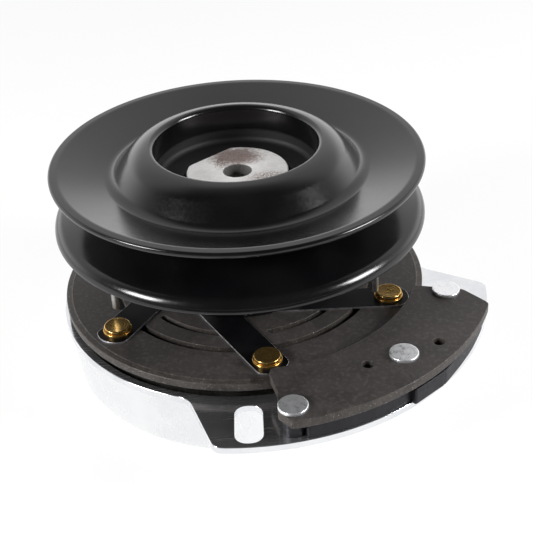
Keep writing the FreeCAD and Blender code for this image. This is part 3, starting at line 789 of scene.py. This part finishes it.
# =====================================================================
# straps and rivets of the armature
# =====================================================================
Z_ARM, T_STR = 38.6, 0.8
skew = 22.0
along = 67.4 * math.cos(math.radians(skew))
bb_ = 67.4 * math.sin(math.radians(skew))
span = along - math.sqrt(29.0 ** 2 - bb_ ** 2)
e_ = math.sqrt(8.6 ** 2 - 7.25 ** 2)
half = math.degrees(math.asin(7.25 / 8.6))
sag = 7.4 - e_
tipR = (7.25 ** 2 + sag ** 2) / (2 * sag)
tipA = math.degrees(math.asin(7.25 / tipR))
STRAP = join(arc(8.6, 180 + half, 180 - half, 0.6), line((-e_, 7.25), (span + e_, 7.25), 1.0),
             arc(tipR, tipA, -tipA, 0.6, at=(span + 7.4 - tipR, 0)), line((span + e_, -7.25), (-e_, -7.25), 1.0))
for cx, cy, rr in ((-e_, 7.25, 0.9), (-e_, -7.25, 0.9), (span + e_, 7.25, 0.9), (span + e_, -7.25, 0.9)):
    STRAP = round_corner(STRAP, (cx, cy), rr, 5)
inner_xy = []
for k in range(6):
    ang = -24.0 + 60.0 * k
    o = pol(67.4, ang)
    dr = pol(1.0, ang + 180 + skew)
    inn = o + dr * span
    inner_xy.append(inn)
    out_line = rotd(STRAP, ang + 180 + skew) + o
    b = MB()
    b.plate(out_line, [circle(2.0, 24, inn), circle(2.5, 24, o)], Z_ARM, Z_ARM + T_STR, edge=0.10, grid=2.5, mat=0, side=1, steps=2)
    ob = b.make("leaf_strap_%d" % (k + 1), None, ["spring_steel", "spring_edge"], ["leaf_straps"] if k == 0 else ())
    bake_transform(ob)

b = MB()
for x, y in inner_xy:
    b.lathe([(0.0, 46.0 - 1.2), (2.2, 46.0 - 1.2, 1.5), (4.0, 43.9, 0.4), (4.0, 43.0), (2.0, 43.0), (2.0, 38.6),
             (4.0, 38.6), (4.0, 37.6, 0.4), (2.4, 37.0, 0.6), (0.0, 37.0)], 40, at=(x, y), closed=False, step=12)
b.make("carrier_rivet_set", "pulley", ["rivet_alloy"], ["carrier_rivets"])


def ripple_top(r_out, z_edge, edge_r, dish, amp, period, r_flat=0.0):
    """segments of a spun rivet top, from the outer edge fillet to the centre"""
    rr = np.linspace(r_out - edge_r, 0.0, 60)
    def h(r):
        u = min(1.0, r / (r_out - edge_r))
        fade = min(1.0, (1 - u) / 0.12) * min(1.0, u / 0.08 + 0.15)
        return z_edge - dish * (1 - u * u) ** 1.0 + amp * math.cos(2 * math.pi * r / period) * fade - amp * fade
    pts = [np.array([r, h(r)]) for r in rr]
    nrm = []
    for i in range(len(rr)):
        a, c = pts[max(0, i - 1)], pts[min(len(rr) - 1, i + 1)]
        d = (c - a) / np.linalg.norm(c - a)
        n = np.array([-d[1], d[0]])
        if n[1] < 0:
            n = -n
        nrm.append(n)
    nrm[0] = np.array([0.0, 1.0]); nrm[-1] = np.array([0.0, 1.0])
    return [(pts[i], nrm[i], pts[i + 1], nrm[i + 1]) for i in range(len(rr) - 1)]


b = MB()
for k in range(6):
    x, y = pol(67.4, -24.0 + 60.0 * k)
    z = 39.4
    body = section([(2.5, 34.9, 0.3), (2.5, z), (6.1, z, 0.15), (6.1, z + 1.3, 0.35), (5.40, z + 1.3, 0.0), (5.55, z + 1.6, 0.0),
                    (5.55, z + 3.0, 0.5), (4.95, z + 3.0)], 12, 6, closed=False)
    body = [(np.array([0.0, 34.9]), np.array([0, -1.0]), np.array([2.5, 34.9]), np.array([0, -1.0]))] + body
    b.lathe(None, 64, at=(x, y), segs=body)
    b.lathe(None, 64, at=(x, y), segs=ripple_top(5.55, z + 3.0, 0.6, 0.10, 0.010, 1.15))
b.make("armature_rivet_set", "armature", ["brass"], ["armature_rivets"])

# =====================================================================
# armature
# =====================================================================
outer_sec = [(2.8, 38.6, 0.0, 1.0), (2.62, 38.55, 0.35, 0.94), (2.38, 38.22, 0.50, 0.86), (2.2, 38.15, 0.05, 1.0), (0.42, 38.15, 0.0, 1.0),
             (0.20, 38.09, 0.5, 0.86), (0.05, 37.93, 0.86, 0.5), (0.0, 37.72, 1.0, 0.0), (0.0, 36.4, 1.0, 0.0), (0.0, 35.1, 1.0, 0.0),
             (0.07, 34.85, 0.86, -0.5), (0.25, 34.67, 0.5, -0.86), (0.5, 34.6, 0.0, -1.0)]
holes = [circle(34.0, 160)]
for k in range(6):
    a = -24.0 + 60.0 * k
    holes.append(arc_slot(47.0, 2.7, a + 5.2, a + 42.0))
    holes.append(arc_slot(57.8, 3.2, a + 2.6, a + 50.0))
    holes.append(circle(2.5, 24, pol(67.4, a)))
b = MB()
b.plate(circle(79.8, 360), holes, 34.6, 38.6, edge=0.22, outer_sec=outer_sec, grid=3.0, mat=0, side=1, steps=2)
b.make("armature_plate", "armature", ["bare_steel", "bare_steel_edge"], ["armature_disc"])

# =====================================================================
# rotor side
# =====================================================================
a_key = math.asin(3.175 / 12.7)
bore = join(arc(12.7, 90 + math.degrees(a_key), 90 - math.degrees(a_key) + 360, 0.5), [(3.175, 16.0), (-3.175, 16.0)])
b = MB()
b.plate(circle(17.5, 160), [bore], 0.0, 85.3, edge=0.4, grid=0, steps=3)
b.make("rotor_hub_sleeve", "rotor", ["machined_steel"], ["rotor_hub"])

WR, WT = 21.9, 90.9
th = math.degrees(math.acos(18.6 / WR))
f0 = 129.3
wash = join(arc(WR, f0 + th, f0 + 180 - th, 0.5), line(pol(WR, f0 + 180 - th), pol(WR, f0 + 180 + th), 0.8),
            arc(WR, f0 + 180 + th, f0 + 360 - th, 0.5), line(pol(WR, f0 - th), pol(WR, f0 + th), 0.8))
for d_ in (f0 + th, f0 - th, f0 + 180 + th, f0 + 180 - th):
    wash = round_corner(wash, pol(WR, d_), 1.2, 4)
sec_w = [(0.55, WT, 0.0, 1.0), (0.42, WT - 0.04, 0.30, 0.95), (0.13, WT - 0.36, 0.80, 0.60), (0.0, WT - 0.6, 1.0, 0.0), (0.0, 85.6, 1.0, 0.0),
         (0.10, 85.38, 0.7, -0.7), (0.3, 85.3, 0.0, -1.0)]
b = MB()
b.plate(wash, [circle(6.1, 64)], 85.3, WT, edge=0.5, outer_sec=sec_w, hole_sec=sec_w, grid=2.0)
b.make("end_washer_disc", "rotor", ["washer_steel"], ["end_washer"])

b = MB()
b.lathe([(17.5, 34.0), (19.4, 34.0, 0.3), (19.4, 65.3, 0.3), (17.5, 65.3)], 128, maxlen=8)
b.make("bearing_spacer_sleeve", "rotor", ["machined_steel"], ["bearing_spacer"])

# snap ring with two lugs
ringo = join(arc(19.0, 118, 422, 0.8), [pol(20.3, 68), pol(20.6, 72), pol(20.6, 80.5), pol(20.0, 82.2), pol(16.9, 82.4)],
             arc(16.45, 441.5, 98.5, 0.8), [pol(16.9, 97.6), pol(20.0, 97.8), pol(20.6, 99.5), pol(20.6, 108), pol(20.3, 112)])
b = MB()
b.plate(ringo, [circle(1.0, 20, pol(18.7, 104)), circle(1.0, 20, pol(18.7, 76))], 1.5, 3.0, edge=0.15, grid=0, steps=2)
b.make("hub_snap_ring", "rotor", ["spring_steel"], ["hub_retaining_ring"])


def seal(z0, z1, up):
    """thin moulded seal between r 21.95 and 27.4 with two raised ribs on its outside"""
    zo, zi = (z1, z0) if up else (z0, z1)
    s = 1 if up else -1
    return [(21.95, zi), (27.4, zi), (27.4, zo - s * 0.25, 0.1), (26.9, zo, 0.15), (26.1, zo, 0.12), (25.9, zo - s * 0.28, 0.1),
            (23.6, zo - s * 0.28, 0.1), (23.4, zo, 0.12), (22.7, zo, 0.12), (22.4, zo - s * 0.25, 0.1), (21.95, zo - s * 0.3)]


for nm, z0, z1, body in (("field_bearing", 3.0, 17.0, "field"), ("pulley_bearing", 65.3, 85.3, "pulley")):
    b = MB()
    b.lathe(seal(z0 + 0.5, z0 + 1.3, False), 160, step=20)
    b.lathe(seal(z1 - 1.3, z1 - 0.5, True), 160, step=20)
    b.make(nm + "_seal_pair", body, ["red_seal"], [nm + "_seals"])

# =====================================================================
# field: shell, plate, brake
# =====================================================================
b = MB()
b.lathe([(26.5, 0, 0.5), (78.2, 0, 6.0), (79.9, 28.1, 0.25), (76.9, 28.1, 0.25), (75.2, 3.0, 3.2), (26.5, 3.0, 0.5)], 288, step=6, maxlen=4)
b.make("field_shell_cup", "field", ["zinc_shell"], ["field_shell"])

# mounting plate outline in the frame of its arm, turned into place
ARM = -51.8
sl_ = (77.7 - 69.7) / 21.5
c0_ = 69.7 - 50 * sl_


def hit(R):
    qa, qb, qc = 1 + sl_ * sl_, 2 * sl_ * c0_, c0_ * c0_ - R * R
    x = (-qb + math.sqrt(qb * qb - 4 * qa * qc)) / (2 * qa)
    return np.array([x, c0_ + sl_ * x])


po, pi_ = hit(108.6), hit(81.4)
ao, ai = math.degrees(math.atan2(po[1], po[0])), math.degrees(math.atan2(pi_[1], pi_[0]))
mir = np.array([1, -1])
MP = join(arc(108.6, -ao, ao, 1.0), line(po, pi_, 0.8), arc(81.4, ai, 360 - ai, 1.0), line(pi_ * mir, po * mir, 0.8))
for q, r_ in ((po, 5.0), (po * mir, 5.0), (pi_, 9.0), (pi_ * mir, 9.0)):
    MP = round_corner(MP, q, r_, 12)
MP = rotd(MP, ARM)
L2, W2, cr = 10.9, 5.5, 4.8
slot = []
for sx, sy, a0 in ((1, 1, 0), (-1, 1, 90), (-1, -1, 180), (1, -1, 270)):
    for t in np.linspace(a0, a0 + 90, 7):
        slot.append((sx * (L2 - cr) + cr * math.cos(math.radians(t)), sy * (W2 - cr) + cr * math.sin(math.radians(t))))
slot = rotd(np.array(slot) + np.array([95.2, 0]), -91.2)
POSTS = [(15.0, -101.0), (85.6, -31.2)]
MID = (61.0, -73.7)
bore_sec = [(1.45, 31.1, 0.0, 1.0), (1.35, 31.07, 0.3, 0.95), (0.08, 29.75, 0.75, 0.66), (0.0, 29.6, 1.0, 0.0), (0.0, 28.3, 1.0, 0.0), (0.15, 28.1, 0.3, -0.95)]
b = MB()
b.plate(MP, [slot] + [circle(3.0, 32, q) for q in POSTS + [MID]] + [(circle(77.0, 320), bore_sec)], 28.1, 31.1, edge=0.3, grid=3.5)
b.make("mounting_plate_ring", "field", ["zinc_plate"], ["mounting_plate"])

# brake plate
def ray_hit(p0, p1, R):
    p0, p1 = np.array(p0, float), np.array(p1, float)
    d = p1 - p0
    a_, b_2, c_ = d @ d, 2 * p0 @ d, p0 @ p0 - R * R
    t = (-b_2 + math.sqrt(b_2 * b_2 - 4 * a_ * c_)) / (2 * a_)
    return p0 + d * t


def ang_of(pt):
    return math.degrees(math.atan2(pt[1], pt[0]))


RI, RO = 77.0, 110.2
BL = [(50, -30.6), (68.4, -44.4), (77.6, -48.7), (86.6, -56.6), (130, -56.0), (130, 53.9), (81.6, 54.2), (50, 30.6)]
no_, po_ = ray_hit(BL[3], BL[4], RO), ray_hit(BL[6], BL[5], RO)
ni_, pi2 = ray_hit(BL[0], BL[1], RI), ray_hit(BL[7], BL[6], RI)
BP = join(arc(RO, ang_of(no_), ang_of(po_), 0.8), line(po_, BL[6], 0.6), line(BL[6], pi2, 0.6), arc(RI, ang_of(pi2), ang_of(ni_), 0.8),
          line(ni_, BL[2], 0.6) if np.linalg.norm(np.array(BL[1])) < RI else join(line(ni_, BL[1], 0.6), line(BL[1], BL[2], 0.6)),
          line(BL[2], BL[3], 0.6), line(BL[3], no_, 0.6))
for q, r_ in ((BL[3], 3.0), (BL[2], 4.0), (no_, 1.6), (ni_, 2.0), (BL[6], 4.0), (po_, 2.4), (pi2, 2.5)):
    BP = round_corner(BP, q, r_, 10)
BP = rotd(BP, ARM)
b = MB()
b.plate(BP, [circle(3.0, 32, q) for q in POSTS + [MID]] + [circle(2.4, 36, q) for q in ((46.1, -78.3), (76.2, -66.6))],
        38.9, 42.9, edge=0.30, grid=3.0, mat=0, side=1)
b.make("brake_pole_plate", "field", ["bare_steel", "bare_steel_edge"], ["brake_plate"])

# magnet block
n_o = ray_hit((96.2, -50.8), (130, -77.5), 107.9)
n_i = ray_hit((60, -22.2), (78.1, -36.5), 83.0)
p_i, p_o = ray_hit((60, 26.7), (78.0, 40.0), 83.0), ray_hit((78.0, 40.0), (96.2, 53.3), 108.25)
bo = -50.7 - ARM
b0 = rotd(np.array([math.sqrt(107.9 ** 2 - 8.65 ** 2), -8.65]), bo); b1 = rotd(np.array([110.3, -8.65]), bo)
b2 = rotd(np.array([110.3, 8.65]), bo)
wa = np.array([ang_of(b2), 7.8, 10.2, 15.3, 21.8, 27.1, ang_of(p_o)])
wr_ = np.array([np.linalg.norm(b2), 110.1, 109.6, 109.0, 108.6, 108.3, 108.25])
wt = np.linspace(wa[0], wa[-1], 60)
wing = np.array([pol(r, a) for a, r in zip(wt, np.interp(wt, wa, wr_))])
BB = join(arc(107.9, ang_of(n_o), ang_of(b0), 0.8), line(b0, b1, 0.4), line(b1, b2, 0.8), wing,
          line(p_o, p_i, 0.8), arc(83.0, ang_of(p_i), ang_of(n_i), 0.8), line(n_i, n_o, 0.8))
for q, r_ in ((n_o, 1.2), (p_o, 1.2), (n_i, 1.0), (p_i, 1.0), (b1, 0.7), (b2, 0.7)):
    BB = round_corner(BB, q, r_, 6)
BB = rotd(BB, ARM)
b = MB()
mag_pockets = []
for a in (-61.5, -38.5):
    mag_pockets.append(rotd(np.array([(90, -7), (100, -7), (100, 7), (90, 7)]), a))
b.plate(BB, [circle(3.0, 32, MID)] + mag_pockets, 31.1, 38.3, edge=0.35, grid=4.0, mat=0, side=0)
b.make("brake_block", "field", ["block_black"], ["brake_magnet_block"])

b = MB()
for q in POSTS:
    b.lathe([(3.0, 31.1), (4.3, 31.1, 0.25), (4.3, 38.9, 0.25), (3.0, 38.9)], 64, at=q, step=15)
b.make("brake_post_sleeves", "field", ["block_black"], ["brake_posts"])

b = MB()
for q in POSTS + [MID]:
    body = section([(3.0, 26.3), (5.0, 26.3, 0.5), (5.0, 28.1), (3.0, 28.1), (3.0, 42.9), (5.9, 42.9, 0.2), (5.9, 44.3, 0.50),
                    (5.3, 44.3)], 12, 8, closed=False)
    body = [(np.array([0.0, 26.3]), np.array([0, -1.0]), np.array([3.0, 26.3]), np.array([0, -1.0]))] + body
    b.lathe(None, 72, at=q, segs=body)
    b.lathe(None, 72, at=q, segs=ripple_top(5.9, 44.3, 0.6, 0.06, 0.006, 1.5))
b.make("brake_rivet_set", "field", ["rivet_alloy"], ["brake_rivets"])

# connector on the far side
def rrect(w, h, r, n=5):
    out = []
    for sx, sy, a0 in ((1, 1, 0), (-1, 1, 90), (-1, -1, 180), (1, -1, 270)):
        for t in np.linspace(a0, a0 + 90, n):
            out.append((sx * (w / 2 - r) + r * math.cos(math.radians(t)), sy * (h / 2 - r) + r * math.sin(math.radians(t))))
    return np.array(out)


CON = 120.0
u = pol(1, CON)
tang = np.array([-u[1], u[0]])
tf = np.eye(4)
tf[:3, 0] = [tang[0], tang[1], 0]; tf[:3, 1] = [0, 0, 1]; tf[:3, 2] = [u[0], u[1], 0]
tf[:3, 3] = [0, 0, 14.0]
b = MB()
b.plate(rrect(19.0, 14.0, 1.2), [rrect(15.6, 10.6, 0.8)], 77.6, 89.1, edge=0.35, grid=0, tf=tf, steps=3)
b.plate(rrect(15.8, 10.8, 0.8), [], 80.0, 81.5, edge=0.1, grid=0, tf=tf)
# collar
b.plate(rrect(19.0, 14.0, 1.2), [rrect(15.6, 10.6, 0.8)], 78.2, 80.6, edge=0.3, grid=0, tf=tf)
b.make("connector_shell", "field", ["black_plastic"], ["connector_housing"])

# ---------------------------------------------------------------- carried-over CAD nodes
KEEP = {
    "field_inner_pole": "machined_steel", "coil_bobbin": "bobbin_plastic", "coil_winding": "copper_wire", "coil_wrap": "wrap_tape",
    "brake_magnets": "magnet", "connector_terminals": "brass", "field_bearing_outer_ring": "bearing_steel",
    "field_bearing_inner_ring": "bearing_steel", "pulley_bearing_inner_ring": "bearing_steel",
    "pulley_bearing_outer_ring": "bearing_steel", "field_bearing_balls": "bearing_steel", "pulley_bearing_balls": "bearing_steel",
    "field_bearing_cage": "bobbin_plastic", "pulley_bearing_cage": "bobbin_plastic", "rotor_disc": "rotor_steel",
    "rotor_friction_ring": "friction_lining", "pulley_retaining_ring": "spring_steel",
}
for nd, mt in KEEP.items():
    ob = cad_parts[nd]
    if ob.material_slots:
        for s in ob.material_slots:
            s.material = M[mt]
    else:
        ob.data.materials.append(M[mt])

# =====================================================================
# studio
# =====================================================================
def quad(name, c, x, y, mat):
    me = bpy.data.meshes.new(name)
    c, x, y = Vector(c), Vector(x), Vector(y)
    me.from_pydata([c - x - y, c + x - y, c + x + y, c - x + y], [], [(0, 1, 2, 3)])
    me.materials.append(mat)
    ob = bpy.data.objects.new(name, me)
    bpy.context.scene.collection.objects.link(ob)
    return ob


quad("studio_floor", (0, 0, -0.00005), (6, 0, 0), (0, 6, 0), M["studio_floor"])
# painted dark reflection: a black card in front of the object that only glossy rays see, so shiny parts reflect dark
# there while the floor stays white to the camera
m = Mat("painted_reflection_card", (0.01, 0.01, 0.01), 0.0, 0.9)
m.color(m.mix(m.noise(300, 1), (0.008, 0.008, 0.008), (0.012, 0.012, 0.012)))
m.b.inputs["Specular IOR Level"].default_value = 0.0
flag = quad("painted_reflection_card", (0, -0.75, 0.004), (0.9, 0, 0), (0, 0.53, 0), m.m)
flag.visible_camera = False
flag.visible_diffuse = False
flag.visible_shadow = False
flag.visible_transmission = False


def area(name, pos, target, sx, sy, power, color=(1, 1, 1)):
    l = bpy.data.lights.new(name, "AREA")
    l.shape = "RECTANGLE"; l.size, l.size_y = sx, sy; l.energy = power; l.color = color
    ob = bpy.data.objects.new(name, l)
    ob.location = pos
    ob.rotation_euler = (Vector(target) - Vector(pos)).to_track_quat("-Z", "Y").to_euler()
    bpy.context.scene.collection.objects.link(ob)
    return ob


area("soft_left", (-0.80, -0.45, 0.47), (0, 0, 0.07), 0.32, 0.32, 10.5)
area("soft_right", (0.86, -0.30, 0.47), (0, 0, 0.07), 0.32, 0.32, 10.0)

w = bpy.data.worlds.new("studio_world")
bpy.context.scene.world = w
w.use_nodes = True
nt = w.node_tree
bg = nt.nodes["Background"]
tcw = nt.nodes.new("ShaderNodeTexCoord")
sepw = nt.nodes.new("ShaderNodeSeparateXYZ")
nt.links.new(tcw.outputs["Generated"], sepw.inputs[0])


def wr(src, a, b_, c, d):
    r = nt.nodes.new("ShaderNodeMapRange")
    r.interpolation_type = "SMOOTHSTEP"
    nt.links.new(src, r.inputs[0])
    for i, v in zip((1, 2, 3, 4), (a, b_, c, d)):
        r.inputs[i].default_value = v
    return r.outputs[0]


def wm(op, a, b_):
    mnode = nt.nodes.new("ShaderNodeMath"); mnode.operation = op
    for i, v in enumerate((a, b_)):
        if isinstance(v, (int, float)):
            mnode.inputs[i].default_value = v
        else:
            nt.links.new(v, mnode.inputs[i])
    return mnode.outputs[0]


back = wr(sepw.outputs[1], -0.15, 0.45, 0.0, 1.0)
low = wr(sepw.outputs[2], 0.20, 0.44, 1.75, 0.95)
high = wm("MULTIPLY", low, wr(sepw.outputs[2], 0.80, 0.96, 1.0, 0.25))
L = wm("ADD", wm("MULTIPLY", back, high), 0.04)
lp = nt.nodes.new("ShaderNodeLightPath")
Lc = wm("ADD", wm("MULTIPLY", lp.outputs["Is Camera Ray"], 0.95), wm("MULTIPLY", wm("SUBTRACT", 1.0, lp.outputs["Is Camera Ray"]), L))
nt.links.new(Lc, bg.inputs["Strength"])
bg.inputs["Color"].default_value = (1, 1, 1, 1)

vs = bpy.context.scene.view_settings
vs.view_transform = "Standard"
vs.look = "None"
vs.exposure = 0.0
vs.gamma = 1.0
